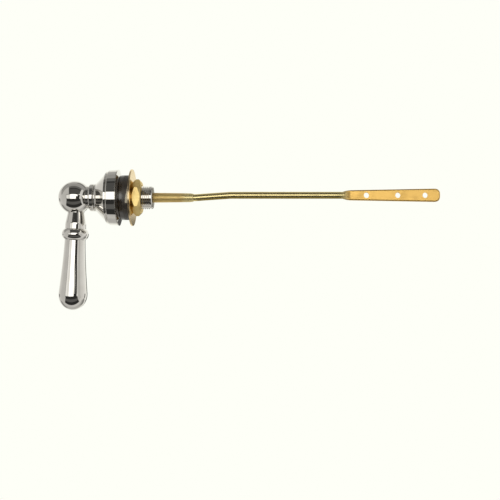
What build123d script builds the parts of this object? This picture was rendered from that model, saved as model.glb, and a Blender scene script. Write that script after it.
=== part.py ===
from build123d import *
from math import atan, cos, degrees, radians, sin, sqrt, tan
import os

# Cistern lever. A chromed handle outside the tank turns a spindle that runs through a threaded shank,
# and a brass arm inside the tank lifts the chain of the flush valve.
# X runs along the shank, from the handle to the arm, and Z is up. The origin lies on the shank's axis,
# at the back face of the escutcheon. All sizes are in millimetres and degrees.

# Shank, and the stack that clamps it in the tank wall
SHANK_D = 15.3
SHANK_FREE = 7.45
SHANK_CHAMFER = 0.8
GASKET_D = 29.4
GASKET_T = 6.8
GASKET_ROUND = 0.9
GASKET_CLEAR = 0.15
WASHER_PROUD = 0.15
WASHER_T = 1.1
WASHER_CLEAR = 0.4
WASHER_ROUND = 0.25
TONGUE_W = 1.3
TONGUE_GAP = 0.2
TONGUE_L = 13.6
TONGUE_DROP = 4.2
TONGUE_BEND = 2.2
NUT_ACROSS_FLATS = 21.1
NUT_T = 5.8
NUT_FACE_D = 20.2
NUT_CHAMFER_ANGLE = 45
NUT_LEAD_IN = 0.7
THREAD_CLEAR = 0.06

# Escutcheon, from its back face to its nose
RIM_PROUD = 0.15
RIM_W = 1.5
RIM_BEVEL = 3.7
RIM_LAND = 0.25
RIM_GROOVE_W = 0.3
RIM_GROOVE_DEPTH = 0.45
BAND_D = 36.7
BAND_W = 5.85
BAND_CROWN = 0.35
BAND_GROOVE_W = 0.5
BAND_GROOVE_DEPTH = 0.5
BEAD_D = 34.2
BEAD_W = 1.2
BEAD_ROUND = 0.25
CONE_D = 33.3
CONE_L = 6.75
NOSE_D = 18.4
NOSE_LAND = 0.9
NOSE_COVE = 1.2
NOSE_ROUND = 0.2
NOSE_WEB = 4.0

# Spindle
SPINDLE_D = 6.45
RUN_CLEAR = 0.05
SHOULDER_CLEAR = 0.1
TAIL_D = 5.0
TAIL_PAST_BALL = 5.0
TAIL_FLAT = 0.6
TAIL_FLAT_L = 9.0
TAIL_CLEAR = 0.04
STUB_L = 22.9
STUB_END_D = 5.9
SWAGE_L = 3.6
SWAGE_WALL = 0.3

# Hub
COLLAR_GAP = 0.2
COLLAR_W = 3.4
COLLAR_D = 18.1
COLLAR_ROUND = 1.1
NECK_DEPTH = 1.45
NECK_W = 1.9
NECK_FILLET = 0.3
BALL_D = 21.9

# Stop between hub and escutcheon, which sets how far the handle turns
TURN_LIMIT = 45
STOP_SPARE = 2
LUG_W = 1.9
LUG_H = 1.4
LUG_ANGLE = 16
LUG_CLEAR = 0.25

# Set screw through the back of the ball
SCREW_D = 4.0
SCREW_L = 5.0
SCREW_CLEAR = 0.04
SCREW_TIP = 0.4
KEY_ACROSS_FLATS = 2.0
KEY_DEPTH = 2.2

# Grip, measured down its own axis from its seat on the ball
GRIP_LEAN = 2.2
GRIP_OFFSET = 1.0
SEAT_SINK = 0.3
SEAT_CLEAR = 0.08
TENON_D = 6.0
TENON_L = 4.6
TENON_CLEAR = 0.04
END_CLEAR = 0.3
GRIP_NECK_L = 11.85
GRIP_NECK_TOP_D = 10.7
GRIP_LAND_L = 1.2
GRIP_FLARE_L = 7.4
GRIP_FLARE_D = 13.5
GRIP_FLARE_ROUND = 8.0
GRIP_NECK_END_D = 13.6
RING_L = 7.3
RING_D = 17.5
RING_FILLET = 0.4
BODY_L = 46.4
BODY_TOP_D = 13.5
BODY_MAX_D = 18.8
END_L = 10.2
FLANK_TOP_SLOPE = 0.03
FLANK_END_SLOPE = 0.10

# Arm
ROD_D = 4.55
ROD_SOCKET_L = 11.0
BRAZE_CLEAR = 0.03
CRANK_START = 1.2
CRANK_L = 23.0
CRANK_RISE = 1.6
CRANK_R = 20.0
ROD_L = 74.0
BLADE_L = 64.3
BLADE_T = 2.0
BLADE_START_W = 6.7
BLADE_END_W = 8.9
BLADE_END_ROUND = 3.9
BLADE_EDGE_ROUND = 0.9
FLARE_L = 5.6
RAMP_L = 4.2
RAMP_SINK = 0.02
HOLE_D = 3.6
HOLE_EDGE = 9.8
HOLE_PITCH_OUTER = 18.0
HOLE_PITCH_INNER = 20.7

# Places along the shank's axis
washer_x = GASKET_T
nut_x = washer_x + WASHER_T
nut_end_x = nut_x + NUT_T
shank_end_x = nut_end_x + SHANK_FREE
groove_x = -(RIM_W + RIM_GROOVE_W)
band_x = groove_x - BAND_W
band_groove_x = band_x - BAND_GROOVE_W
bead_x = band_groove_x - BEAD_W
cove_x = bead_x - CONE_L
nose_x = cove_x - NOSE_LAND
step_x = nose_x + NOSE_WEB
collar_end_x = nose_x - COLLAR_GAP
collar_x = collar_end_x - COLLAR_W
neck_x = collar_x - NECK_W
neck_r = COLLAR_D / 2 - NECK_DEPTH
ball_x = neck_x - sqrt((BALL_D / 2) ** 2 - neck_r**2)
tail_x = ball_x - TAIL_PAST_BALL
shoulder_x = step_x + SHOULDER_CLEAR
swage_x = shank_end_x + STUB_L
stub_end_x = swage_x + SWAGE_L
rod_x = stub_end_x - ROD_SOCKET_L
crank_x = stub_end_x + CRANK_START
crank_end_x = crank_x + CRANK_L
blade_x = crank_end_x + ROD_L
blade_end_x = blade_x + BLADE_L

# Radii that two pieces share
shank_r = SHANK_D / 2
spindle_r = SPINDLE_D / 2
tail_r = TAIL_D / 2
rod_r = ROD_D / 2
rim_r = BAND_D / 2 + RIM_PROUD
washer_r = rim_r + WASHER_PROUD
nut_bore_r = shank_r + THREAD_CLEAR
bore_r = spindle_r + RUN_CLEAR
tail_bore_r = tail_r + RUN_CLEAR
tail_socket_r = tail_r + TAIL_CLEAR
rod_socket_r = rod_r + BRAZE_CLEAR
stop_r = (tail_bore_r + NOSE_D / 2) / 2
flat_y = tail_r - TAIL_FLAT

# Grip axis and its seat on the ball
lean = radians(GRIP_LEAN)
grip_axis = Axis((ball_x + GRIP_OFFSET, 0, 0), (-sin(lean), 0, -cos(lean)))
grip_plane = Plane(grip_axis.position, x_dir=grip_axis.direction, z_dir=(0, -1, 0))
seat_r = GRIP_NECK_TOP_D / 2 + SEAT_CLEAR
seat_d = sqrt((BALL_D / 2) ** 2 - (seat_r + GRIP_OFFSET) ** 2) - SEAT_SINK
seat_plane = Plane(grip_axis.position + grip_axis.direction * seat_d, z_dir=grip_axis.direction)

os.makedirs("parts", exist_ok=True)


def stop_slot(plane, half_angle, width):
    """Kidney-shaped sketch around the shank's axis, centred above it."""
    with BuildSketch(plane) as slot:
        SlotArc(CenterArc((0, 0), stop_r, 90 - half_angle, 2 * half_angle), width)
    return slot.sketch


# Escutcheon: bell and threaded shank, turned in one piece
groove_r = BAND_D / 2 - RIM_GROOVE_DEPTH
band_groove_r = BEAD_D / 2 - BAND_GROOVE_DEPTH
with BuildPart() as escutcheon:
    with BuildSketch(Plane.XY):
        with BuildLine():
            FilletPolyline(
                (step_x, tail_bore_r),
                (nose_x, tail_bore_r),
                (nose_x, NOSE_D / 2),
                (cove_x, NOSE_D / 2),
                (bead_x, CONE_D / 2),
                (bead_x, BEAD_D / 2),
                (band_groove_x, BEAD_D / 2),
                (band_groove_x, band_groove_r),
                (band_x, band_groove_r),
                (band_x, BAND_D / 2 - BAND_CROWN),
                radius=[0, NOSE_ROUND, NOSE_COVE, 0, BEAD_ROUND, BEAD_ROUND, 0, 0],
            )
            TangentArc((groove_x, BAND_D / 2), (band_x, BAND_D / 2 - BAND_CROWN), tangent=(-1, 0))
            Polyline(
                (groove_x, BAND_D / 2),
                (groove_x + RIM_GROOVE_W / 2, groove_r),
                (-RIM_W, groove_r),
                (-RIM_W, rim_r),
                (RIM_LAND - RIM_W, rim_r),
                (0, rim_r - RIM_BEVEL),
                (0, shank_r),
                (shank_end_x - SHANK_CHAMFER, shank_r),
                (shank_end_x, shank_r - SHANK_CHAMFER),
                (shank_end_x, bore_r),
                (step_x, bore_r),
                (step_x, tail_bore_r),
            )
        make_face()
    revolve(axis=Axis.X)
    recess = stop_slot(Plane.YZ.offset(nose_x), LUG_ANGLE + TURN_LIMIT + STOP_SPARE, LUG_W + 2 * LUG_CLEAR)
    extrude(recess, amount=LUG_H + LUG_CLEAR, mode=Mode.SUBTRACT)

escutcheon.part.label = "escutcheon"
export_step(escutcheon.part, "parts/escutcheon.step")

# Gasket: thick rubber ring with rounded outer edges
with BuildPart() as gasket:
    with BuildSketch(Plane.YZ):
        Circle(GASKET_D / 2)
        Circle(shank_r + GASKET_CLEAR, mode=Mode.SUBTRACT)
    extrude(amount=GASKET_T)
    fillet(gasket.edges().filter_by(GeomType.CIRCLE).group_by(SortBy.RADIUS)[-1], GASKET_ROUND)

gasket.part.label = "gasket"
export_step(gasket.part, "parts/gasket.step")

# Washer: stamped brass ring as wide as the escutcheon, with softened outer edges and a bent tongue,
# which lies along the gasket and keeps the washer from turning with the nut
tongue_in_r = GASKET_D / 2 + TONGUE_GAP
with BuildPart() as tongue:
    with BuildSketch(Plane.YZ.offset(washer_x)):
        Circle(tongue_in_r + TONGUE_W)
        Circle(tongue_in_r, mode=Mode.SUBTRACT)
    extrude(amount=WASHER_T / 2)
    extrude(tongue.faces().sort_by(Axis.X)[0], amount=TONGUE_BEND)
    with BuildSketch(Plane.XZ):
        with BuildLine():
            Polyline(
                (washer_x + WASHER_T / 2, TONGUE_L - TONGUE_DROP),
                (washer_x, TONGUE_L - TONGUE_DROP),
                (washer_x - TONGUE_BEND, -TONGUE_DROP),
                (washer_x + WASHER_T / 2, -TONGUE_DROP),
                close=True,
            )
        make_face()
    extrude(amount=washer_r, mode=Mode.INTERSECT)

with BuildPart() as washer:
    with BuildSketch(Plane.YZ.offset(washer_x)):
        Circle(washer_r)
        Circle(shank_r + WASHER_CLEAR, mode=Mode.SUBTRACT)
    extrude(amount=WASHER_T)
    fillet(washer.edges().filter_by(GeomType.CIRCLE).group_by(SortBy.RADIUS)[-1], WASHER_ROUND)
    add(tongue.part)

washer.part.label = "washer"
export_step(washer.part, "parts/washer.step")

# Lock nut: a turned blank, chamfered at both ends and cut to a hexagon with its corners up and down
nut_corner_r = NUT_ACROSS_FLATS / sqrt(3)
nut_chamfer = (nut_corner_r - NUT_FACE_D / 2) * tan(radians(NUT_CHAMFER_ANGLE))
with BuildPart() as lock_nut:
    with BuildSketch(Plane.XY):
        with BuildLine():
            Polyline(
                (nut_x, nut_bore_r + NUT_LEAD_IN),
                (nut_x, NUT_FACE_D / 2),
                (nut_x + nut_chamfer, nut_corner_r),
                (nut_end_x - nut_chamfer, nut_corner_r),
                (nut_end_x, NUT_FACE_D / 2),
                (nut_end_x, nut_bore_r + NUT_LEAD_IN),
                (nut_end_x - NUT_LEAD_IN, nut_bore_r),
                (nut_x + NUT_LEAD_IN, nut_bore_r),
                close=True,
            )
        make_face()
    revolve(axis=Axis.X)
    with BuildSketch(Plane.YZ.offset(nut_x)):
        RegularPolygon(NUT_ACROSS_FLATS / 2, 6, major_radius=False, rotation=30)
    extrude(amount=NUT_T, mode=Mode.INTERSECT)

lock_nut.part.label = "lock_nut"
export_step(lock_nut.part, "parts/lock_nut.step")

# Ball hub: ball, neck groove and collar, bored for the spindle's tail, the grip and the set screw
ball_r = BALL_D / 2
collar_round = min(COLLAR_ROUND, 0.45 * COLLAR_W, 0.98 * (NECK_DEPTH - NECK_FILLET))
screw_plane = Plane((ball_x, 0, 0), z_dir=(0, 1, 0))
with BuildPart() as ball_hub:
    with BuildSketch(Plane.XY):
        with BuildLine():
            ThreePointArc((ball_x - ball_r, 0), (ball_x, ball_r), (neck_x, neck_r))
            FilletPolyline(
                (neck_x, neck_r),
                (collar_x, neck_r),
                (collar_x, COLLAR_D / 2),
                (collar_end_x, COLLAR_D / 2),
                (collar_end_x, tail_socket_r),
                (tail_x - END_CLEAR, tail_socket_r),
                (tail_x - END_CLEAR, 0),
                (ball_x - ball_r, 0),
                radius=[NECK_FILLET, collar_round, collar_round, 0, 0, 0],
            )
        make_face()
    revolve(axis=Axis.X)
    lug = stop_slot(Plane.YZ.offset(collar_end_x), LUG_ANGLE, LUG_W)
    extrude(lug, amount=COLLAR_GAP + LUG_H)
    with BuildSketch(seat_plane):
        Circle(seat_r)
    extrude(amount=ball_r, mode=Mode.SUBTRACT)
    with BuildSketch(seat_plane):
        Circle(TENON_D / 2 + TENON_CLEAR)
    extrude(amount=-(TENON_L + END_CLEAR), mode=Mode.SUBTRACT)
    with BuildSketch(screw_plane):
        Circle(SCREW_D / 2 + SCREW_CLEAR)
    extrude(amount=ball_r, mode=Mode.SUBTRACT)

ball_hub.part.label = "ball_hub"
export_step(ball_hub.part, "parts/ball_hub.step")

# Set screw: hexagon-socket grub screw that bears on the flat of the spindle's tail
with BuildPart() as set_screw:
    with BuildSketch(screw_plane.offset(flat_y)):
        Circle(SCREW_D / 2)
    extrude(amount=SCREW_L)
    chamfer(set_screw.edges().group_by(Axis.Y)[0], SCREW_TIP)
    with BuildSketch(screw_plane.offset(flat_y + SCREW_L)):
        RegularPolygon(KEY_ACROSS_FLATS / 2, 6, major_radius=False)
    extrude(amount=-KEY_DEPTH, mode=Mode.SUBTRACT)

set_screw.part.label = "set_screw"
export_step(set_screw.part, "parts/set_screw.step")

# Grip: tenon, flared neck, ring and teardrop body, turned in one piece. Its flank runs into an oval end.
flare_d = seat_d + GRIP_LAND_L
neck_end_d = seat_d + GRIP_NECK_L
ring_end_d = neck_end_d + RING_L
tip_d = ring_end_d + BODY_L
end_r = BODY_MAX_D / 2
end_d = tip_d - END_L
flank_angle = atan(FLANK_END_SLOPE * END_L / end_r)
flank_end = (end_d - END_L * sin(flank_angle), end_r * cos(flank_angle))
with BuildPart() as grip:
    with BuildSketch(grip_plane):
        with BuildLine():
            Polyline(
                (tip_d, 0),
                (seat_d - TENON_L, 0),
                (seat_d - TENON_L, TENON_D / 2),
                (seat_d, TENON_D / 2),
                (seat_d, GRIP_NECK_TOP_D / 2),
            )
            FilletPolyline(
                (seat_d, GRIP_NECK_TOP_D / 2),
                (flare_d, GRIP_NECK_TOP_D / 2),
                (flare_d + GRIP_FLARE_L, GRIP_FLARE_D / 2),
                (neck_end_d, GRIP_NECK_END_D / 2),
                radius=[0, GRIP_FLARE_ROUND],
            )
            ThreePointArc(
                (neck_end_d, GRIP_NECK_END_D / 2),
                ((neck_end_d + ring_end_d) / 2, RING_D / 2),
                (ring_end_d, BODY_TOP_D / 2),
            )
            Spline(
                (ring_end_d, BODY_TOP_D / 2),
                flank_end,
                tangents=[(1, FLANK_TOP_SLOPE), (1, FLANK_END_SLOPE)],
            )
            EllipticalCenterArc((end_d, 0), END_L, end_r, arc_size=90 + degrees(flank_angle))
        make_face()
    revolve(axis=grip_axis)
    ring_creases = grip.edges().filter_by(GeomType.CIRCLE).sort_by(grip_axis)[-3:-1]
    fillet(ring_creases, RING_FILLET)

grip.part.label = "grip"
export_step(grip.part, "parts/grip.step")

# Spindle: tail with a flat, shoulder, journal, and a tapered stub swaged round the arm
stub_slope = (STUB_END_D - SPINDLE_D) / 2 / STUB_L
with BuildPart() as spindle:
    with BuildSketch(Plane.XY):
        with BuildLine():
            Polyline(
                (rod_x, 0),
                (tail_x, 0),
                (tail_x, tail_r),
                (shoulder_x, tail_r),
                (shoulder_x, spindle_r),
                (shank_end_x, spindle_r),
                (swage_x, STUB_END_D / 2),
            )
            TangentArc(
                (swage_x, STUB_END_D / 2),
                (stub_end_x, rod_socket_r + SWAGE_WALL),
                tangent=(1, stub_slope),
            )
            Polyline(
                (stub_end_x, rod_socket_r + SWAGE_WALL),
                (stub_end_x, rod_socket_r),
                (rod_x, rod_socket_r),
                (rod_x, 0),
            )
        make_face()
    revolve(axis=Axis.X)
    with BuildSketch(Plane.XZ.offset(-flat_y)):
        with Locations((ball_x, 0)):
            Rectangle(TAIL_FLAT_L, TAIL_D)
    extrude(amount=-TAIL_D, mode=Mode.SUBTRACT)

spindle.part.label = "spindle"
export_step(spindle.part, "parts/spindle.step")

# Blade at the arm's end: flat plan with a flared root, a slow taper and rounded edges
flare_x = blade_x + FLARE_L
blade_end_round = min(BLADE_END_ROUND, 0.45 * BLADE_END_W)
blade_edge_round = min(BLADE_EDGE_ROUND, 0.47 * BLADE_T)
taper = (BLADE_END_W - BLADE_START_W) / 2 / (blade_end_x - flare_x)
arm_plane = Plane((0, 0, CRANK_RISE), x_dir=(1, 0, 0), z_dir=(0, -1, 0))
with BuildPart() as blade:
    with BuildSketch(arm_plane):
        with BuildLine():
            root = (blade_x, rod_r - RAMP_SINK)
            TangentArc((flare_x, BLADE_START_W / 2), root, tangent=(-1, -taper))
            FilletPolyline(
                (flare_x, BLADE_START_W / 2),
                (blade_end_x, BLADE_END_W / 2),
                (blade_end_x, 0),
                radius=[blade_end_round],
            )
            Line(root, (blade_x, 0))
            mirror(about=Plane.XZ)
        make_face()
    extrude(amount=BLADE_T / 2, both=True)
    flat_faces = blade.faces().filter_by(Axis.Y)
    fillet(flat_faces.edges(), blade_edge_round)

# Arm: round rod with a slight crank, pressed flat over a curved ramp into the drilled blade
ramp_x = flare_x + RAMP_SINK - RAMP_L
hole_x = blade_end_x - HOLE_EDGE
with BuildPart() as arm:
    with BuildLine():
        FilletPolyline(
            (rod_x, 0, 0),
            (crank_x, 0, 0),
            (crank_end_x, 0, CRANK_RISE),
            (flare_x, 0, CRANK_RISE),
            radius=[CRANK_R, CRANK_R],
        )
    with BuildSketch(Plane.YZ.offset(rod_x)):
        Circle(rod_r)
    sweep()
    with BuildSketch(Plane.XY.offset(CRANK_RISE)):
        with BuildLine():
            press = TangentArc(
                (flare_x, BLADE_T / 2 - RAMP_SINK),
                (ramp_x, rod_r),
                tangent=(-1, 0),
            )
            Polyline(press @ 1, (ramp_x, ROD_D), (flare_x, ROD_D), press @ 0)
        make_face()
        mirror(about=Plane.XZ)
    extrude(amount=ROD_D, both=True, mode=Mode.SUBTRACT)
    add(blade.part)
    with BuildSketch(arm_plane):
        with Locations((hole_x, 0), (hole_x - HOLE_PITCH_OUTER, 0)):
            Circle(HOLE_D / 2)
        with Locations((hole_x - HOLE_PITCH_OUTER - HOLE_PITCH_INNER, 0)):
            Circle(HOLE_D / 2)
    extrude(amount=BLADE_T, both=True, mode=Mode.SUBTRACT)

arm.part.label = "arm"
export_step(arm.part, "parts/arm.step")
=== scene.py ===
"""Dresses the cistern lever: chromed handle and bell, brass nut, washer and arm, rubber gasket."""

import logging
import math
from dataclasses import dataclass
from enum import Enum
from typing import Any

import bmesh
import bpy
from mathutils import Matrix, Vector


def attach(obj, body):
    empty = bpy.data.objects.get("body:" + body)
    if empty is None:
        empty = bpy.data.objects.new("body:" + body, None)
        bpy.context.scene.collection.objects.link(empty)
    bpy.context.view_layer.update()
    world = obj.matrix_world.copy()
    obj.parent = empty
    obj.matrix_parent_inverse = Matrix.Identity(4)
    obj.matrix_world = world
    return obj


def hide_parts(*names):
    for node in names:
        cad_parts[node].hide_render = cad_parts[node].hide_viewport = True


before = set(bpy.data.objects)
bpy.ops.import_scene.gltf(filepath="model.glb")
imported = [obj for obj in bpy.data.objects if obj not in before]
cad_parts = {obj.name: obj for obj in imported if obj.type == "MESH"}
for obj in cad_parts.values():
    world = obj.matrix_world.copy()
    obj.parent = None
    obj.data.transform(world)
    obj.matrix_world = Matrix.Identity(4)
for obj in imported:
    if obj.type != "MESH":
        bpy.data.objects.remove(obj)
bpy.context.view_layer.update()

log = logging.getLogger("cistern_lever")
MM = 0.001  # metres
NOWHERE = 1000.0  # mm along X, beyond every piece
CREASE = 32.0  # degrees, above which an edge stays sharp
MERGE = 1e-4  # mm between points that are one
ARM_RISE = 1.6  # mm from the shank's axis up to the arm's
Number = float | int
Triple = tuple[float, float, float]
Colour = Triple


class Body(Enum):
    """The bodies that pieces ride on."""

    SHANK = "shank"
    WASHER = "washer"
    NUT = "lock_nut"
    LEVER = "lever"


class Slot(Enum):
    """The record's material slots."""

    CHROME = "chrome_plate"
    BRIGHT_BRASS = "bright_brass"
    DRAWN_BRASS = "drawn_brass"
    RUBBER = "seal_rubber"
    STEEL = "screw_steel"


class Axis(Enum):
    """Axes of the object's coordinates."""

    X = "X"
    Z = "Z"


class Ray(Enum):
    """Kinds of ray that the Light Path node tells apart."""

    CAMERA = "Is Camera Ray"
    GLOSSY = "Is Glossy Ray"
    TRANSMISSION = "Is Transmission Ray"


class Wire:
    """A number socket of a node graph, which adds a Math node for each operator."""

    def __init__(self, graph: "Graph", socket: bpy.types.NodeSocket) -> None:
        """Keeps the graph and its socket."""
        self.graph = graph
        self.socket = socket

    def math(self, operation: str, *others: "Wire | Number", reflected: bool = False) -> "Wire":
        """Adds one Math node.

        Args:
            operation: The Math node's operation.
            others: Its other inputs.
            reflected: Whether this wire comes after the others.

        Returns:
            The node's result.
        """
        values = [*others, self] if reflected else [self, *others]
        return self.graph.node("ShaderNodeMath", {"operation": operation}, dict(enumerate(values)))

    def __add__(self, other: "Wire | Number") -> "Wire":
        """Sum."""
        return self.math("ADD", other)

    def __sub__(self, other: "Wire | Number") -> "Wire":
        """Difference."""
        return self.math("SUBTRACT", other)

    def __rsub__(self, other: Number) -> "Wire":
        """Difference from a number."""
        return self.math("SUBTRACT", other, reflected=True)

    def __mul__(self, other: "Wire | Number") -> "Wire":
        """Product."""
        return self.math("MULTIPLY", other)

    __radd__ = __add__
    __rmul__ = __mul__

    def window(self, low: float, high: float, soft: float) -> "Wire":
        """A smooth step up at low and down at high.

        Args:
            low: Where the window opens.
            high: Where it closes.
            soft: Width of each edge.

        Returns:
            One inside the window and zero outside it.
        """
        return self.step(low, soft) * (1 - self.step(high, soft))

    def step(self, edge: float, soft: float) -> "Wire":
        """A smooth step from zero to one across an edge.

        Args:
            edge: Middle of the step.
            soft: Width of the step.

        Returns:
            The step's value.
        """
        settings = {"interpolation_type": "SMOOTHSTEP"}
        ends = {"From Min": edge - soft / 2, "From Max": edge + soft / 2}
        return self.graph.node("ShaderNodeMapRange", settings, {"Value": self, **ends})


class Graph:
    """The node tree of a finish or of the world."""

    MIX_AMOUNT = 0
    MIX_LOW = 6
    MIX_HIGH = 7

    def __init__(self, tree: bpy.types.NodeTree) -> None:
        """Empties the tree."""
        self.tree = tree
        tree.nodes.clear()

    def node(
        self,
        kind: str,
        settings: dict[str, Any] | None = None,
        inputs: dict[Any, Any] | None = None,
    ) -> Wire:
        """Adds one node.

        Args:
            kind: The node's type.
            settings: Its properties.
            inputs: Values or wires of its sockets, by name or number.

        Returns:
            The node's first output.
        """
        made = self.tree.nodes.new(kind)
        for key, value in (settings or {}).items():
            setattr(made, key, value)
        for key, value in (inputs or {}).items():
            socket = made.inputs[key]
            if isinstance(value, Wire):
                self.tree.links.new(value.socket, socket)
            else:
                socket.default_value = value
        outputs = [s for s in made.outputs if s.enabled]
        return Wire(self, outputs[0]) if outputs else Wire(self, None)

    def output(self, wire: Wire, name: str) -> Wire:
        """Another output of the node that a wire comes from.

        Args:
            wire: Any output of that node.
            name: Name of the wanted output.

        Returns:
            The named output.
        """
        return Wire(self, wire.socket.node.outputs[name])

    def rays(self, *kinds: Ray) -> Wire:
        """Tells some kinds of ray from the others.

        Args:
            kinds: The kinds to tell.

        Returns:
            One on a ray of these kinds and zero on any other.
        """
        path = self.node("ShaderNodeLightPath")
        first, *others = (self.output(path, kind.value) for kind in kinds)
        for other in others:
            first = first.math("MAXIMUM", other)
        return first

    def place(self, scale: Triple = (1, 1, 1)) -> Wire:
        """Object coordinates, stretched along the axes.

        Args:
            scale: Factor along X, Y and Z.

        Returns:
            The scaled coordinates.
        """
        coordinates = self.output(self.node("ShaderNodeTexCoord"), "Object")
        return self.node("ShaderNodeMapping", {}, {"Vector": coordinates, "Scale": scale})

    def along(self, axis: Axis) -> Wire:
        """Object coordinate along one axis, in millimetres."""
        place = self.place((1 / MM, 1 / MM, 1 / MM))
        return self.output(self.node("ShaderNodeSeparateXYZ", {}, {0: place}), axis.value)

    def noise(self, size: float, detail: float = 3.0, scale: Triple = (1, 1, 1)) -> Wire:
        """Noise with features of about one size.

        Args:
            size: Size of the largest features in millimetres.
            detail: Octaves of finer noise.
            scale: Stretch of the coordinates along X, Y and Z.

        Returns:
            The noise, about 0.2 to 0.8.
        """
        inputs = {"Vector": self.place(scale), "Scale": 1 / (size * MM), "Detail": detail}
        return self.node("ShaderNodeTexNoise", {}, inputs)

    def mix(self, amount: Wire, low: Colour | Wire, high: Colour | Wire) -> Wire:
        """Mixes two colours.

        Args:
            amount: Share of the second colour.
            low: First colour.
            high: Second colour.

        Returns:
            The mixed colour.
        """
        low, high = (end if isinstance(end, Wire) else (*end, 1.0) for end in (low, high))
        inputs = {self.MIX_AMOUNT: amount, self.MIX_LOW: low, self.MIX_HIGH: high}
        return self.node("ShaderNodeMix", {"data_type": "RGBA"}, inputs)

    def relief(self, height: Wire, depth: float, strength: float = 1.0) -> Wire:
        """Bump from a height between zero and one.

        Args:
            height: The height.
            depth: Depth in millimetres.
            strength: Share of the bump that shows.

        Returns:
            The bumped normal.
        """
        inputs = {"Height": height, "Distance": depth * MM, "Strength": strength}
        return self.node("ShaderNodeBump", {}, inputs)


@dataclass(frozen=True)
class Finish:
    """What every finish has: a name, its slot and a material made once."""

    name: str
    slot: Slot

    def material(self) -> bpy.types.Material:
        """Looks up the finish's material, and makes it on its first use.

        Returns:
            The material.
        """
        found = bpy.data.materials.get(self.name)
        if found:
            return found
        made = bpy.data.materials.new(self.name)
        made.use_nodes = True
        graph = Graph(made.node_tree)
        shader = graph.node("ShaderNodeBsdfPrincipled", {}, self.sockets(graph))
        graph.node("ShaderNodeOutputMaterial", {}, {"Surface": shader})
        return made

    def sockets(self, graph: Graph) -> dict[str, Any]:
        """Inputs of the shader.

        Args:
            graph: The graph to add nodes to.

        Returns:
            Values and wires by socket name.
        """
        raise NotImplementedError


@dataclass(frozen=True)
class ChromePlate(Finish):
    """Polished chrome plate with faint smears, a slightly uneven polish, and painted shade beyond
    end_shade_x: darker and rougher there.
    """

    light: Colour = (0.84, 0.82, 0.78)
    dull: Colour = (0.775, 0.75, 0.705)
    # The colour bare is painted shade on the shank's end beyond end_shade_x.
    bare: Colour = (0.20, 0.17, 0.12)
    end_shade_x: float = NOWHERE
    end_shade_rough: float = 0.3
    polish: float = 0.035
    smear: float = 0.07
    cloud_size: float = 9.0
    wipe_size: float = 1.6
    wave_size: float = 14.0
    wave_depth: float = 0.012

    def sockets(self, graph: Graph) -> dict[str, Any]:
        """Inputs of the shader.

        Args:
            graph: The graph to add nodes to.

        Returns:
            Values and wires by socket name.
        """
        cloud = graph.noise(self.cloud_size, 4.0)
        wipe = graph.noise(self.wipe_size, 5.0, (1.0, 1.0, 0.22))
        wave = graph.noise(self.wave_size, 1.0)
        # Painted shade on the shank's end beyond end_shade_x.
        shaded_end = graph.along(Axis.X).step(self.end_shade_x, 0.2)
        plate = graph.mix(cloud.step(0.5, 0.5), self.light, self.dull)
        smeared = self.smear * (cloud.step(0.56, 0.3) * wipe)
        return {
            "Base Color": graph.mix(shaded_end, plate, self.bare),
            "Metallic": 1.0,
            "Roughness": self.polish + smeared + self.end_shade_rough * shaded_end,
            "Normal": graph.relief(wave, self.wave_depth, 0.5),
        }


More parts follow.
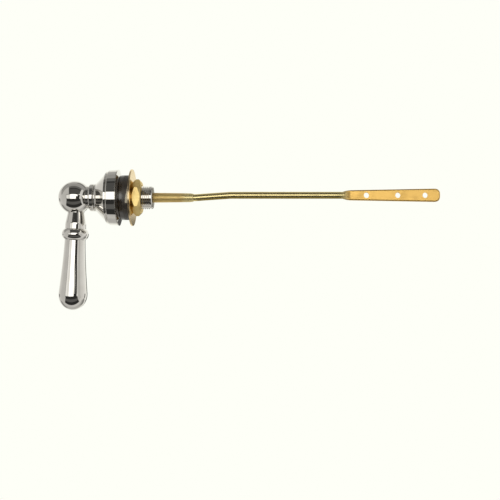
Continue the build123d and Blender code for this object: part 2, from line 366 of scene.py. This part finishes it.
@dataclass(frozen=True)
class Brass(Finish):
    """Bare brass, browner where it has tarnished, darker with painted shade on one face and on the
    rod's underside, and in another tint where it was pressed.

    Attributes:
        bright: Colour of the clean metal.
        brown: Colour of tarnish, and of the painted shade on the face at shaded_face_x and on the
            rod's underside.
        pressed: Colour of the metal beyond pressed_x.
        pressed_x: Where the pressed part begins, and pressed_w over what width.
        shaded_face_x: Place of a face that lies against another piece, darkened there as painted
            shade.
        shine: Roughness of the pressed part; matt is added to it elsewhere.
        film: Share of dull film on the metal; pressed_film is that of the pressed part.
        stain: Strength of the tarnish, and speckle that of its small spots.
        scuffed: Share of dull film where the pressed part begins.
        shaded: Strength of the painted shade on the rod's underside.
        glance: Tint of the metal at a glancing angle.
        grain: Stretch of the fine lines, scored their strength.
        turned: Whether the lines are rings from the lathe, ring_pitch apart.
        rod_x: Where the bare rod begins; its crank is crank_l long about crank_x.
    """

    bright: Colour = (0.92, 0.75, 0.34)
    brown: Colour = (0.60, 0.36, 0.11)
    pressed: Colour = (0.88, 0.57, 0.19)
    pressed_x: float = NOWHERE
    pressed_w: float = 6.0
    shaded_face_x: float = NOWHERE
    shine: float = 0.16
    matt: float = 0.0
    film: float = 0.0
    pressed_film: float = 0.0
    stain: float = 0.35
    speckle: float = 0.2
    scuffed: float = 0.0
    shaded: float = 0.9
    glance: Colour = (1.0, 0.93, 0.78)
    grain: Triple = (1, 1, 1)
    scored: float = 0.6
    turned: bool = False
    tarnish_size: float = 7.0
    speck_size: float = 0.9
    line_size: float = 0.5
    line_depth: float = 0.01
    ring_pitch: float = 0.22
    rod_x: float = 50.0
    crank_x: float = 61.0
    crank_l: float = 24.0

    def sockets(self, graph: Graph) -> dict[str, Any]:
        """Inputs of the shader.

        Args:
            graph: The graph to add nodes to.

        Returns:
            Values and wires by socket name.
        """
        tarnish = graph.noise(self.tarnish_size, 5.0).step(0.58, 0.34)
        specks = graph.noise(self.speck_size).step(0.68, 0.12)
        lines = graph.noise(self.line_size, 3.0, self.grain)
        if self.turned:
            lines = self._rings(graph) * 0.6 + lines * 0.4
        x = graph.along(Axis.X)
        pressed = x.step(self.pressed_x, self.pressed_w)
        root = x.window(self.pressed_x - 3, self.pressed_x + 3, 3)
        # Painted shade on the face at shaded_face_x.
        shaded_face = x.window(self.shaded_face_x - 0.06, self.shaded_face_x + 0.06, 0.04)
        stains = tarnish * (self.stain * (1 - 0.7 * pressed))
        stains = stains + specks * (self.speckle * (1 - 0.5 * pressed))
        # Tarnish and specks, plus painted shade on the face at shaded_face_x and under the rod.
        stains_and_shade = stains + shaded_face + self.shaded * self._underside_shade(graph)
        clean = graph.mix(pressed, self.bright, self.pressed)
        dulled = self.film + (self.pressed_film - self.film) * pressed
        worn = 0.08 * tarnish + 0.08 * lines + 0.5 * shaded_face
        return {
            "Base Color": graph.mix(stains_and_shade, clean, self.brown),
            "Metallic": 1 - (dulled * (0.8 + 0.4 * tarnish) + self.scuffed * root),
            "Roughness": self.shine + self.matt * (1 - pressed) + worn,
            "Specular Tint": (*self.glance, 1.0),
            "Normal": graph.relief(lines, self.line_depth, self.scored),
        }

    def _underside_shade(self, graph: Graph) -> Wire:
        """Painted shade: the underside of the bare rod, between its socket and the pressed end.

        Args:
            graph: The graph to add nodes to.

        Returns:
            One under the rod and zero elsewhere.
        """
        x = graph.along(Axis.X)
        above = graph.along(Axis.Z) - ARM_RISE * x.step(self.crank_x, self.crank_l)
        return x.window(self.rod_x, self.pressed_x - 2, 4) * (1 - above.step(-1.3, 0.9))

    def _rings(self, graph: Graph) -> Wire:
        """Fine rings about the shank's axis, left by the lathe tool.

        Args:
            graph: The graph to add nodes to.

        Returns:
            Height of the rings, zero to one.
        """
        flat = graph.place((0.0, 1.0, 1.0))
        radius = graph.node("ShaderNodeVectorMath", {"operation": "LENGTH"}, {0: flat})
        radius = graph.output(radius, "Value")
        return (radius * (2 * math.pi / (self.ring_pitch * MM))).math("SINE") * 0.5 + 0.5


@dataclass(frozen=True)
class Rubber(Finish):
    """Black moulded rubber with a faint bloom."""

    black: Colour = (0.034, 0.021, 0.011)
    bloom: Colour = (0.058, 0.04, 0.021)
    rubbed_x: float = 2.6
    polish: float = 0.16
    rubbed_rough: float = 0.28
    patch_size: float = 5.0
    skin_size: float = 0.35
    skin_depth: float = 0.02

    def sockets(self, graph: Graph) -> dict[str, Any]:
        """Inputs of the shader.

        Args:
            graph: The graph to add nodes to.

        Returns:
            Values and wires by socket name.
        """
        patches = graph.noise(self.patch_size, 4.0).step(0.55, 0.3)
        skin = graph.noise(self.skin_size)
        rubbed = self.rubbed_rough * graph.along(Axis.X).step(self.rubbed_x, 1.2)
        return {
            "Base Color": graph.mix(patches, self.black, self.bloom),
            "Roughness": self.polish + rubbed + 0.1 * patches + 0.08 * skin,
            "Specular IOR Level": 1.0,
            "IOR": 1.6,
            "Normal": graph.relief(skin, self.skin_depth, 0.5),
        }


@dataclass(frozen=True)
class Steel(Finish):
    """Plain steel of the set screw, darkened by oil."""

    bare: Colour = (0.42, 0.42, 0.42)
    oiled: Colour = (0.20, 0.19, 0.18)
    polish: float = 0.28
    film_size: float = 1.2
    film_depth: float = 0.02

    def sockets(self, graph: Graph) -> dict[str, Any]:
        """Inputs of the shader.

        Args:
            graph: The graph to add nodes to.

        Returns:
            Values and wires by socket name.
        """
        film = graph.noise(self.film_size, 4.0)
        return {
            "Base Color": graph.mix(film.step(0.5, 0.4), self.bare, self.oiled),
            "Metallic": 1.0,
            "Roughness": self.polish + 0.2 * film,
            "Normal": graph.relief(film, self.film_depth, 0.4),
        }


CHROME = ChromePlate("polished_chrome", Slot.CHROME)
# Painted shade darkens the shank's end beyond 20.95 mm.
BELL_CHROME = ChromePlate("plated_bell", Slot.CHROME, end_shade_x=20.95)
NUT_BRASS = Brass(
    "turned_brass",
    Slot.BRIGHT_BRASS,
    bright=(0.80, 0.62, 0.26),
    shine=0.26,
    turned=True,
)
WASHER_BRASS = Brass(
    "stamped_brass",
    Slot.BRIGHT_BRASS,
    # bright is the tongue before pressed_x, painted paler than the rest of the washer: a painted
    # highlight.
    bright=(0.92, 0.84, 0.66),
    # brown is also the painted shade on the face at shaded_face_x, against the gasket.
    brown=(0.17, 0.11, 0.05),
    pressed=(0.78, 0.61, 0.37),
    pressed_x=6.7,
    pressed_w=0.06,
    shaded_face_x=6.8,
    shine=0.1,
    matt=0.42,
)
STUB_BRASS = Brass(
    "swaged_brass",
    Slot.DRAWN_BRASS,
    bright=(1.0, 0.75, 0.30),
    # pressed lightens the swaged end: partly its tint, partly a painted highlight.
    pressed=(1.0, 0.84, 0.40),
    pressed_x=41.0,
    pressed_w=7.0,
    shine=0.2,
    matt=0.22,
    film=0.35,
    pressed_film=0.55,
    grain=(0.03, 1, 1),
    scored=0.3,
)
ROD_BRASS = Brass(
    "rod_brass",
    Slot.DRAWN_BRASS,
    bright=(0.99, 0.83, 0.40),
    # brown here is mostly painted shade on the rod's underside, with faint tarnish.
    brown=(0.32, 0.23, 0.04),
    pressed=(0.90, 0.57, 0.165),
    pressed_x=148.0,
    shine=0.32,
    matt=-0.1,
    stain=0.1,
    scuffed=0.55,
    glance=(1.0, 0.9, 0.6),
    grain=(0.03, 1, 1),
    scored=0.1,
)
BLACK_RUBBER = Rubber("black_rubber", Slot.RUBBER)
SCREW_STEEL = Steel("oiled_steel", Slot.STEEL)


class Lathe:
    """Draws a half profile in millimetres, X along and Y outwards, and turns it about X."""

    DEGREES_PER_FACET = 9.0
    FEWEST_FACETS = 3

    def __init__(self, x: float, r: float) -> None:
        """Starts the profile at one point."""
        self.bm = bmesh.new()
        self.tip = self.bm.verts.new((x, r, 0))

    def line(self, *points: tuple[float, ...]) -> None:
        """Draws straight lines with rounded corners.

        Args:
            points: Place along the axis and radius of each next point, and the rounding there.
        """
        for here, after in zip(points, (*points[1:], None)):
            if len(here) == 3 and after:
                self._corner(Vector(here[:2]), Vector(after[:2]), here[2])
            else:
                self._to(here[0], here[1])

    def _to(self, x: float, r: float) -> None:
        """Draws one straight line.

        Args:
            x: Place of its end along the axis.
            r: Radius of its end.
        """
        made = bmesh.ops.extrude_vert_indiv(self.bm, verts=[self.tip])
        self.tip = made["verts"][0]
        self.tip.co = (x, r, 0)

    def _corner(self, corner: Vector, after: Vector, radius: float) -> None:
        """Draws a line towards a corner and the arc that rounds it.

        Args:
            corner: The corner's place and radius.
            after: The point after it.
            radius: Radius of the rounding.
        """
        back = (self.tip.co.xy - corner).normalized()
        ahead = (after - corner).normalized()
        half = back.angle(ahead) / 2
        start = corner + back * (radius / math.tan(half))
        centre = corner + (back + ahead).normalized() * (radius / math.sin(half))
        self._to(start.x, start.y)
        turn = math.copysign(math.pi - 2 * half, ahead.cross(back))
        facets = round(abs(math.degrees(turn)) / self.DEGREES_PER_FACET)
        steps = max(self.FEWEST_FACETS, facets)
        arc = {"cent": (*centre, 0), "axis": (0, 0, 1), "angle": turn, "steps": steps}
        made = bmesh.ops.spin(self.bm, geom=[self.tip], **arc)
        self.tip = next(item for item in made["geom_last"] if isinstance(item, bmesh.types.BMVert))

    def turn(self, steps: int) -> bmesh.types.BMesh:
        """Turns the profile all the way round.

        Args:
            steps: Number of facets round the axis.

        Returns:
            The turned solid.
        """
        drawn = [*self.bm.verts, *self.bm.edges]
        turn = {"cent": (0, 0, 0), "axis": (1, 0, 0), "angle": 2 * math.pi, "steps": steps}
        bmesh.ops.spin(self.bm, geom=drawn, use_merge=True, **turn)
        bmesh.ops.remove_doubles(self.bm, verts=self.bm.verts, dist=MERGE / 10)
        bmesh.ops.recalc_face_normals(self.bm, faces=self.bm.faces)
        return self.bm


def keep(bm: bmesh.types.BMesh, name: str) -> bpy.types.Object:
    """Makes an object in metres of a mesh in millimetres.

    Args:
        bm: The mesh, which is freed.
        name: Name of the piece.

    Returns:
        The piece, at the origin.
    """
    bmesh.ops.scale(bm, vec=(MM, MM, MM), verts=bm.verts)
    mesh = bpy.data.meshes.new(name)
    bm.to_mesh(mesh)
    bm.free()
    piece = bpy.data.objects.new(name, mesh)
    bpy.context.scene.collection.objects.link(piece)
    return piece


def cut(piece: bpy.types.Object, tool: bpy.types.Object) -> None:
    """Cuts a tool's shape out of a piece and uses the tool up.

    Args:
        piece: The piece.
        tool: The cutting solid.
    """
    step = piece.modifiers.new("cut", "BOOLEAN")
    step.operation = "DIFFERENCE"
    step.solver = "EXACT"
    step.object = tool
    view = bpy.context.evaluated_depsgraph_get()
    made = bpy.data.meshes.new_from_object(piece.evaluated_get(view))
    piece.modifiers.clear()
    piece.data = made
    bpy.data.objects.remove(tool)


def add_shell(piece: bpy.types.Object, bm: bmesh.types.BMesh) -> None:
    """Adds another closed shell to a piece.

    Args:
        piece: The piece, in metres.
        bm: The shell, in millimetres, which is freed.
    """
    bmesh.ops.scale(bm, vec=(MM, MM, MM), verts=bm.verts)
    bm.from_mesh(piece.data)
    bm.to_mesh(piece.data)
    bm.free()


def shade(piece: bpy.types.Object) -> None:
    """Shades a new piece smoothly between its sharp edges.

    Args:
        piece: The piece.
    """
    piece.data.shade_smooth()
    piece.data.set_sharp_from_angle(angle=math.radians(CREASE))
    weighted = piece.modifiers.new("even_shading", "WEIGHTED_NORMAL")
    weighted.keep_sharp = True


def fit(piece: bpy.types.Object, finish: Finish, body: Body, *nodes: str) -> None:
    """Gives a new piece its finish, body and the nodes that it stands for.

    Args:
        piece: The piece.
        finish: Its finish.
        body: The body that it moves with.
        nodes: Nodes that it replaces.
    """
    piece.data.materials.clear()
    piece.data.materials.append(finish.material())
    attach(piece, body.value)
    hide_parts(*nodes)
    log.info("%s: %d faces, rides on %s", piece.name, len(piece.data.polygons), body.value)


def merged_copy(node: str) -> tuple[bmesh.types.BMesh, list[Vector]]:
    """Copies a solid that is to be reshaped.

    Args:
        node: Name of the node.

    Returns:
        The merged copy, in millimetres, and the solid's shading, corner by corner.
    """
    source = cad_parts[node].data
    shading = [corner.vector.copy() for corner in source.corner_normals]
    bm = bmesh.new()
    bm.from_mesh(source)
    bmesh.ops.remove_doubles(bm, verts=bm.verts, dist=MERGE * MM)
    bmesh.ops.scale(bm, vec=(1 / MM, 1 / MM, 1 / MM), verts=bm.verts)
    return bm, shading


def dress(node: str, finish: Finish) -> None:
    """Gives a solid that stays its finish.

    Args:
        node: Name of the node.
        finish: Its finish.
    """
    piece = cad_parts[node]
    for slot in piece.material_slots:
        slot.material = finish.material()
    log.info("%s: stays, in %s", node, finish.name)


@dataclass(frozen=True)
class Panel:
    """One patch of the light tent, its edges in degrees to the side and over the top."""

    left: float
    right: float
    low: float
    high: float
    soft: float
    level: float


PANELS = {
    "ceiling": Panel(-75, 75, 84, 113, 8, 0.34),
    "high back": Panel(-75, 75, 110, 132, 8, 0.42),
    "under back": Panel(-60, 60, -150, -100, 12, 0.5),
    "high back left": Panel(-58, -27, 116, 136, 6, 0.26),
    "high back right": Panel(0, 58, 116, 136, 6, 0.22),
    "low back left": Panel(-58, -27, -144, -118, 6, 0.26),
    "low back right": Panel(28, 60, -144, -118, 6, 0.26),
    "back flag left": Panel(-66, -53, -190, -163, 4, 0.08),
    "back flag right": Panel(52, 63, -190, -150, 4, 0.12),
    "upper opening": Panel(-30, 40, 20, 86, 5, 0.14),
    "upper shade": Panel(-30, 40, 20, 69, 4, 0.03),
    "upper haze": Panel(-30, 40, 20, 62, 6, 0.08),
    "lower opening": Panel(-49, 48, -78, -8, 5, 0.03),
    "table": Panel(-47, 48, -52, -31, 5, 0.11),
    "middle opening": Panel(-52, 44, -14, 24, 4, 0.035),
    "right edge": Panel(49, 73, -60, 20, 6, 0.56),
    "right card": Panel(41, 49, -14, 8, 3, 0.85),
    "upper right card": Panel(34, 55, 19, 27, 3, 0.85),
    "left strip": Panel(-50, -36, -10, 20.5, 2.5, 0.95),
    "left gap": Panel(-36, -22, -10, 20.5, 2.5, 0.85),
    "soft box": Panel(-22, 16, -10, 21, 2.5, 1.7),
    "soft box right": Panel(14, 27, 8, 21, 2.5, 1.7),
}


@dataclass
class Studio:
    """Camera, white floor and a light tent with a dark front opening and one soft box in it.

    The eye is in metres, the floor in millimetres.
    """

    eye: Triple = (0.0849, -0.534, -0.03447)
    lens: float = 58.3
    sensor: float = 36.0
    white: Colour = (0.991, 1.0, 0.93)
    light: Colour = (1.0, 0.99, 0.95)
    level: float = 0.56
    back_gain: float = 0.20
    right_gain: float = 0.13
    strip_side: Triple = (-1, 26, 3)
    strip_height: Triple = (-0.34, 0.045, 0.03)
    strip_level: float = 0.10
    floor_colour: Colour = (0.8, 0.8, 0.77)
    floor_z: float = -300.0
    floor_half: float = 3000.0

    def camera(self) -> None:
        """Sets the camera straight in front of the lever."""
        data = bpy.data.cameras.new("camera")
        data.lens = self.lens
        data.sensor_width = self.sensor
        camera = bpy.data.objects.new("camera", data)
        camera.location = self.eye
        camera.rotation_euler = (math.pi / 2, 0, 0)
        bpy.context.scene.collection.objects.link(camera)
        bpy.context.scene.camera = camera

    def tent(self) -> None:
        """Lights the lever from all round, with the panels that the chrome reflects."""
        world = bpy.data.worlds.new("tent")
        world.use_nodes = True
        bpy.context.scene.world = world
        graph = Graph(world.node_tree)
        coordinates = graph.node("ShaderNodeTexCoord")
        axes = graph.node("ShaderNodeSeparateXYZ", {}, {0: graph.output(coordinates, "Generated")})
        x, y, z = (graph.output(axes, name) for name in "XYZ")
        side = x.math("ARCSINE") * math.degrees(1)
        over = z.math("ARCTAN2", 0 - y) * math.degrees(1)
        level = self.level + self.back_gain * y.step(0.35, 1.1)
        level = level + self.right_gain * x.step(0.2, 1.2)
        for panel in PANELS.values():
            inside = side.window(panel.left, panel.right, panel.soft)
            inside = inside * over.window(panel.low, panel.high, panel.soft)
            level = level * (1 - inside) + inside * panel.level
        strip = z.window(*self.strip_height) * y.step(0.6, 0.3)
        strip = side.window(*self.strip_side) * strip
        level = level * (1 - strip) + strip * self.strip_level
        mirrored = graph.rays(Ray.GLOSSY) * (y.step(0.75, 0.3) * (1 - strip))
        seen = graph.rays(Ray.CAMERA, Ray.TRANSMISSION).math("MAXIMUM", mirrored)
        lit = {"Color": (*self.light, 1.0), "Strength": level}
        lit = graph.node("ShaderNodeBackground", {}, lit)
        back = {"Color": (*self.white, 1.0), "Strength": 1.0}
        back = graph.node("ShaderNodeBackground", {}, back)
        mixed = graph.node("ShaderNodeMixShader", {}, {0: seen, 1: lit, 2: back})
        graph.node("ShaderNodeOutputWorld", {}, {"Surface": mixed})

    def floor(self) -> None:
        """Lays a wide pale floor under the lever."""
        bm = bmesh.new()
        bmesh.ops.create_grid(bm, x_segments=1, y_segments=1, size=self.floor_half)
        bmesh.ops.translate(bm, vec=(0, 0, self.floor_z), verts=bm.verts)
        floor = keep(bm, "floor")
        material = bpy.data.materials.new("floor_white")
        material.use_nodes = True
        graph = Graph(material.node_tree)
        seen = graph.rays(Ray.CAMERA, Ray.TRANSMISSION)
        matt = graph.node("ShaderNodeBsdfDiffuse", {}, {"Color": (*self.floor_colour, 1.0)})
        glow = {"Color": (*self.white, 1.0), "Strength": 1.0}
        glow = graph.node("ShaderNodeEmission", {}, glow)
        mixed = graph.node("ShaderNodeMixShader", {}, {0: seen, 1: matt, 2: glow})
        graph.node("ShaderNodeOutputMaterial", {}, {"Surface": mixed})
        floor.data.materials.append(material)
        floor.visible_glossy = False

    def build(self) -> None:
        """Sets up camera, light and floor."""
        self.camera()
        self.tent()
        self.floor()
        bpy.context.scene.view_settings.view_transform = "Standard"


@dataclass
class Handle:
    """Ball hub, grip and set screw outside the tank."""

    def build(self) -> None:
        """Dresses the handle's solids."""
        dress("ball_hub", CHROME)
        dress("grip", CHROME)
        dress("set_screw", SCREW_STEEL)


@dataclass
class Escutcheon:
    """Bell and threaded shank in one piece."""

    facets: int = 144
    nose_x: float = -17.0
    nose_r: float = 9.2
    cove_x: float = -16.1
    cove_round: float = 1.2
    bead_x: float = -9.35
    bead_r: float = 17.1
    bead_w: float = 1.2
    bead_h: float = 0.5
    bead_round: float = 0.25
    cone_r: float = 16.65
    band_x: float = -7.65
    band_r: float = 18.35
    band_edge_r: float = 18.0
    band_round: float = 0.6
    groove_x: float = -1.8
    groove_w: float = 0.15
    groove_depth: float = 0.45
    rim_x: float = -1.5
    rim_r: float = 18.5
    rim_w: float = 0.25
    rim_round: float = 0.08
    back_r: float = 14.8
    edge_round: float = 0.2
    fine_round: float = 0.1
    shank_r: float = 7.65
    shank_end: float = 21.15
    end_r: float = 7.53
    end_l: float = 1.65
    end_ramp: float = 0.3
    end_round: float = 0.3
    end_cut: float = 0.75
    tip_r: float = 6.8
    tip_round: float = 0.15
    root_r: float = 7.0
    runout_l: float = 1.0
    pitch: float = 1.27
    ridge_x: float = 19.35
    ridge_half_foot: float = 0.56
    ridge_half_crest: float = 0.12
    ridge_sunk: float = 0.08
    ridge_turns: float = 14.25
    ridge_facets: int = 60
    bore_r: float = 3.275
    tail_r: float = 2.55
    step_x: float = -13.0
    stop_r: float = 5.875
    stop_w: float = 2.4
    stop_depth: float = 1.65
    stop_half: float = 63.0
    stop_facets: int = 40
    stop_over: float = 0.5

    def profile(self) -> bmesh.types.BMesh:
        """Turns the bell, the core of the thread and the bore.

        Returns:
            The turned solid.
        """
        bead_foot = self.bead_r - self.bead_h
        groove_r = self.band_r - self.groove_depth
        end_x = self.shank_end - self.end_l
        lathe = Lathe(self.step_x, self.tail_r)
        lathe.line(
            (self.nose_x, self.tail_r),
            (self.nose_x, self.nose_r, self.edge_round),
            (self.cove_x, self.nose_r, self.cove_round),
            (self.bead_x, self.cone_r),
            (self.bead_x, self.bead_r, self.bead_round),
            (self.bead_x + self.bead_w, self.bead_r, self.bead_round),
            (self.bead_x + self.bead_w, bead_foot),
            (self.band_x, bead_foot),
            (self.band_x, self.band_edge_r, self.band_round),
            (self.groove_x, self.band_r, self.fine_round),
            (self.groove_x + self.groove_w, groove_r),
            (self.rim_x, groove_r),
            (self.rim_x, self.rim_r, self.rim_round),
            (self.rim_x + self.rim_w, self.rim_r, self.rim_round),
            (0, self.back_r, self.edge_round),
            (0, self.shank_r),
            (self.runout_l, self.shank_r),
            (self.runout_l + self.shank_r - self.root_r, self.root_r),
            (end_x - self.end_ramp, self.root_r),
            (end_x, self.end_r, self.fine_round),
            (self.shank_end - self.end_cut, self.end_r, self.end_round),
            (self.shank_end, self.tip_r, self.tip_round),
            (self.shank_end, self.bore_r, self.tip_round),
            (self.step_x, self.bore_r),
            (self.step_x, self.tail_r),
        )
        return lathe.turn(self.facets)

    def thread(self) -> bmesh.types.BMesh:
        """Winds the left-hand ridge that stands on the core.

        Returns:
            The ridge, closed at both ends.
        """
        foot_r = self.root_r - self.ridge_sunk
        foot, crest = self.ridge_half_foot, self.ridge_half_crest
        corners = ((-foot, foot_r), (-crest, self.shank_r), (crest, self.shank_r), (foot, foot_r))
        bm = bmesh.new()
        bm.faces.new([bm.verts.new((self.ridge_x + x, r, 0)) for x, r in corners])
        section = [*bm.faces, *bm.edges, *bm.verts]
        wind = {
            "cent": (0, 0, 0),
            "axis": (1, 0, 0),
            "dvec": (-self.pitch / self.ridge_facets, 0, 0),
            "angle": 2 * math.pi * self.ridge_turns,
            "steps": round(self.ridge_turns * self.ridge_facets),
        }
        bmesh.ops.spin(bm, geom=section, **wind)
        bmesh.ops.recalc_face_normals(bm, faces=bm.faces)
        return bm

    def stop_recess(self) -> bpy.types.Object:
        """The kidney-shaped tool that cuts the recess for the hub's stop lug.

        Returns:
            The cutting tool.
        """
        bm = bmesh.new()
        bmesh.ops.create_circle(bm, cap_ends=True, radius=self.stop_w / 2, segments=24)
        bmesh.ops.rotate(bm, matrix=Matrix.Rotation(math.pi / 2, 3, "Y"), verts=bm.verts)
        place = (self.nose_x - self.stop_over, 0, self.stop_r)
        bmesh.ops.translate(bm, vec=place, verts=bm.verts)
        whole = [*bm.verts, *bm.edges, *bm.faces]
        halved = bmesh.ops.bisect_plane(bm, geom=whole, plane_co=(0, 0, 0), plane_no=(0, 1, 0))
        seam = [item for item in halved["geom_cut"] if isinstance(item, bmesh.types.BMEdge)]
        bmesh.ops.split_edges(bm, edges=seam)
        turn = math.radians(self.stop_half)
        for side in (1, -1):
            part = [f for f in bm.faces if f.calc_center_median().y * side > 0]
            verts = list({v for f in part for v in f.verts})
            bmesh.ops.rotate(bm, matrix=Matrix.Rotation(-side * turn, 3, "X"), verts=verts)
        open_edges = [e for e in bm.edges if abs(e.calc_length() - self.stop_w) < 0.01]
        first = max(open_edges, key=lambda e: (e.verts[0].co + e.verts[1].co).y)
        sweep = {"cent": (0, 0, 0), "axis": (1, 0, 0), "angle": 2 * turn}
        bmesh.ops.spin(bm, geom=[first, *first.verts], steps=self.stop_facets, **sweep)
        bmesh.ops.remove_doubles(bm, verts=bm.verts, dist=MERGE)
        lid = bmesh.ops.extrude_face_region(bm, geom=list(bm.faces))
        moved = [item for item in lid["geom"] if isinstance(item, bmesh.types.BMVert)]
        bmesh.ops.translate(bm, vec=(self.stop_depth + self.stop_over, 0, 0), verts=moved)
        bmesh.ops.recalc_face_normals(bm, faces=bm.faces)
        return keep(bm, "stop_tool")

    def build(self) -> None:
        """Turns, threads, cuts and dresses the piece."""
        tool = self.stop_recess()
        bell = keep(self.profile(), "bell_and_shank")
        shade(bell)  # for the cut to keep in the mesh
        cut(bell, tool)
        add_shell(bell, self.thread())
        shade(bell)
        fit(bell, BELL_CHROME, Body.SHANK, "escutcheon")


@dataclass
class Clamp:
    """Gasket, washer and lock nut on the shank."""

    def build(self) -> None:
        """Dresses the clamping stack."""
        dress("gasket", BLACK_RUBBER)
        dress("washer", WASHER_BRASS)
        dress("lock_nut", NUT_BRASS)


@dataclass
class LiftArm:
    """Spindle and arm inside the tank."""

    end_x: float = 210.15
    end_l: float = 3.9
    end_half_w: float = 4.42
    middle_z: float = ARM_RISE
    round_power: float = 2.2
    square_power: float = 2.8

    def square_end(self, bm: bmesh.types.BMesh) -> None:
        """Presses the blade's round end squarer, with rounded corners.

        Args:
            bm: The arm, in millimetres.
        """
        start = self.end_x - self.end_l
        for vert in bm.verts:
            along = (vert.co.x - start) / self.end_l
            across = (vert.co.z - self.middle_z) / self.end_half_w
            if along <= 0:
                continue
            reach = self._reach(along, across, self.round_power)
            stretch = reach / self._reach(along, across, self.square_power)
            vert.co.x = min(start + along * stretch * self.end_l, self.end_x)
            vert.co.z = self.middle_z + across * stretch * self.end_half_w

    @staticmethod
    def _reach(along: float, across: float, power: float) -> float:
        """Distance from the end's middle, one on an outline of the given power."""
        return (abs(along) ** power + abs(across) ** power) ** (1 / power)

    def build(self) -> None:
        """Dresses the spindle, and shapes and dresses the arm."""
        dress("spindle", STUB_BRASS)
        bm, shading = merged_copy("arm")
        self.square_end(bm)
        arm = keep(bm, "lift_arm")
        arm.data.normals_split_custom_set(shading)
        fit(arm, ROD_BRASS, Body.LEVER, "arm")


def main() -> None:
    """Builds the lever's sub-assemblies in order."""
    logging.basicConfig(level=logging.INFO, format="%(name)s %(message)s")
    Studio().build()
    for assembly in (Handle(), Escutcheon(), Clamp(), LiftArm()):
        assembly.build()


if __name__ == "__main__":
    main()
